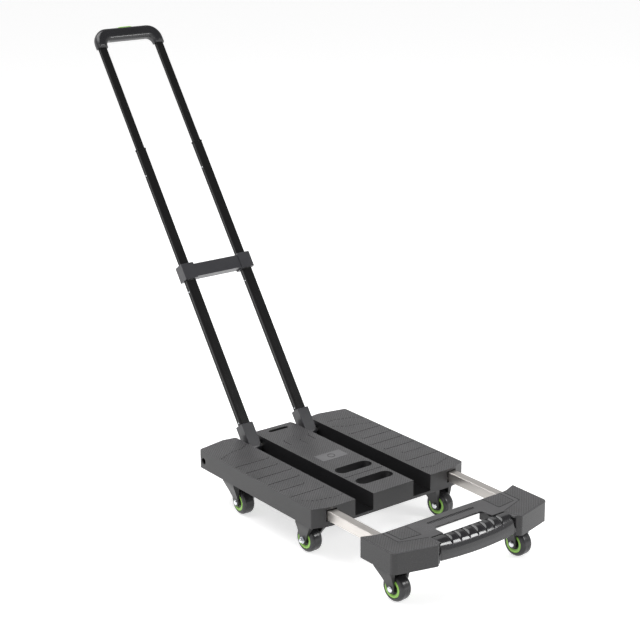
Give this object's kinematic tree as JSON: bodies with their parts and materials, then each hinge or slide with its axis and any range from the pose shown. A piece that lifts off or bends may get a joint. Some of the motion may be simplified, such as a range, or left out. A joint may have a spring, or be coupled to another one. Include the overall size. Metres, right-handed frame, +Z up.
{
  "type": "folding platform cart",
  "caption": "Folding platform cart: moulded deck on swivel casters, front extension that slides on steel bars, and a telescoping pull handle that folds into the deck.",
  "frame": {"origin": "on the floor, under the middle of the cart's box with the handle leaning back and the extension drawn out", "axes": "+X to the cart's right, +Y back towards the handle, +Z up from the floor the casters stand on"},
  "size_m": [0.356, 1.1302, 0.8519],
  "materials": {
    "moulded": "textured injection moulding, dark grey",
    "dark": "smooth, near black",
    "grip": "soft gloss, charcoal",
    "tube": "black satin anodised",
    "steel": "brushed",
    "bright": "polished",
    "tyre": "smooth polyurethane tread",
    "green": "satin lime green"
  },
  "bodies": {
    "deck": {"deck_shell": "moulded", "base_plate_left": "dark", "base_plate_right": "dark", "pivot_pin_left": "steel", "pivot_pin_right": "steel", "bar_guide_left": "dark", "bar_guide_right": "dark", "caster_plate_rear_left": "steel", "caster_plate_rear_right": "steel", "caster_plate_middle_left": "steel", "caster_plate_middle_right": "steel"},
    "extension": {"extension_shell": "moulded", "extension_cover_left": "dark", "extension_cover_right": "dark", "carry_grip": "grip", "sliding_bar_left": "steel", "sliding_bar_right": "steel", "caster_plate_front_left": "steel", "caster_plate_front_right": "steel"},
    "handle_lower": {"socket_left": "moulded", "socket_right": "moulded", "lower_tube_left": "tube", "lower_tube_right": "tube", "crossbar": "moulded"},
    "handle_middle": {"middle_tube_left": "tube", "middle_tube_right": "tube"},
    "handle_upper": {"upper_tube_left": "tube", "upper_tube_right": "tube", "handgrip": "grip"},
    "button": {"release_button": "green"},
    "swivel_rear_left": {"fork_rear_left": "dark"},
    "wheel_rear_left": {"axle_bolt_rear_left": "bright", "hub_rear_left": "dark", "wheel_core_rear_left": "green", "tyre_rear_left": "tyre"},
    "swivel_rear_right": {"fork_rear_right": "dark"},
    "wheel_rear_right": {"axle_bolt_rear_right": "bright", "hub_rear_right": "dark", "wheel_core_rear_right": "green", "tyre_rear_right": "tyre"},
    "swivel_middle_left": {"fork_middle_left": "dark"},
    "wheel_middle_left": {"axle_bolt_middle_left": "bright", "hub_middle_left": "dark", "wheel_core_middle_left": "green", "tyre_middle_left": "tyre"},
    "swivel_middle_right": {"fork_middle_right": "dark"},
    "wheel_middle_right": {"axle_bolt_middle_right": "bright", "hub_middle_right": "dark", "wheel_core_middle_right": "green", "tyre_middle_right": "tyre"},
    "swivel_front_left": {"fork_front_left": "dark"},
    "wheel_front_left": {"axle_bolt_front_left": "bright", "hub_front_left": "dark", "wheel_core_front_left": "green", "tyre_front_left": "tyre"},
    "swivel_front_right": {"fork_front_right": "dark"},
    "wheel_front_right": {"axle_bolt_front_right": "bright", "hub_front_right": "dark", "wheel_core_front_right": "green", "tyre_front_right": "tyre"}
  },
  "joints": [
    {"name": "handle_fold", "type": "hinge", "parent": "deck", "child": "handle_lower", "pos_m": [0, 0.01559, 0.091], "axis": [1, 0, 0], "range_deg": [0, 120.5]},
    {"name": "middle_slide", "type": "slide", "parent": "handle_lower", "child": "handle_middle", "axis": [0, -0.5828, -0.8126], "range_m": [0, 0.258]},
    {"name": "upper_slide", "type": "slide", "parent": "handle_middle", "child": "handle_upper", "axis": [0, -0.5828, -0.8126], "range_m": [0, 0.23]},
    {"name": "release_press", "type": "slide", "parent": "handle_upper", "child": "button", "axis": [0, -0.5828, -0.8126], "range_m": [0, 0.004], "stiffness_N_per_m": 500},
    {"name": "extension_slide", "type": "slide", "parent": "deck", "child": "extension", "axis": [0, 1, 0], "range_m": [0, 0.129]},
    {"name": "swivel_turn_rear_left", "type": "hinge", "parent": "deck", "child": "swivel_rear_left", "pos_m": [-0.1415, -0.0416, 0.06], "axis": [0, 0, 1], "continuous": true},
    {"name": "wheel_spin_rear_left", "type": "hinge", "parent": "swivel_rear_left", "child": "wheel_rear_left", "pos_m": [-0.14275, -0.05755, 0.025], "axis": [0.9969, -0.0785, 0], "continuous": true},
    {"name": "swivel_turn_rear_right", "type": "hinge", "parent": "deck", "child": "swivel_rear_right", "pos_m": [0.1415, -0.0416, 0.06], "axis": [0, 0, 1], "continuous": true},
    {"name": "wheel_spin_rear_right", "type": "hinge", "parent": "swivel_rear_right", "child": "wheel_rear_right", "pos_m": [0.14317, -0.05751, 0.025], "axis": [0.9945, 0.1045, 0], "continuous": true},
    {"name": "swivel_turn_middle_left", "type": "hinge", "parent": "deck", "child": "swivel_middle_left", "pos_m": [-0.1415, -0.2821, 0.06], "axis": [0, 0, 1], "continuous": true},
    {"name": "wheel_spin_middle_left", "type": "hinge", "parent": "swivel_middle_left", "child": "wheel_middle_left", "pos_m": [-0.14197, -0.26611, 0.025], "axis": [-0.9996, -0.0297, 0], "continuous": true},
    {"name": "swivel_turn_middle_right", "type": "hinge", "parent": "deck", "child": "swivel_middle_right", "pos_m": [0.1415, -0.2821, 0.06], "axis": [0, 0, 1], "continuous": true},
    {"name": "wheel_spin_middle_right", "type": "hinge", "parent": "swivel_middle_right", "child": "wheel_middle_right", "pos_m": [0.14447, -0.29782, 0.025], "axis": [0.9826, 0.1857, 0], "continuous": true},
    {"name": "swivel_turn_front_left", "type": "hinge", "parent": "extension", "child": "swivel_front_left", "pos_m": [-0.1415, -0.4941, 0.06], "axis": [0, 0, 1], "continuous": true},
    {"name": "wheel_spin_front_left", "type": "hinge", "parent": "swivel_front_left", "child": "wheel_front_left", "pos_m": [-0.14011, -0.51004, 0.025], "axis": [0.9962, 0.0872, 0], "continuous": true},
    {"name": "swivel_turn_front_right", "type": "hinge", "parent": "extension", "child": "swivel_front_right", "pos_m": [0.1415, -0.4941, 0.06], "axis": [0, 0, 1], "continuous": true},
    {"name": "wheel_spin_front_right", "type": "hinge", "parent": "swivel_front_right", "child": "wheel_front_right", "pos_m": [0.14278, -0.51005, 0.025], "axis": [0.9968, 0.0802, 0], "continuous": true}
  ]
}
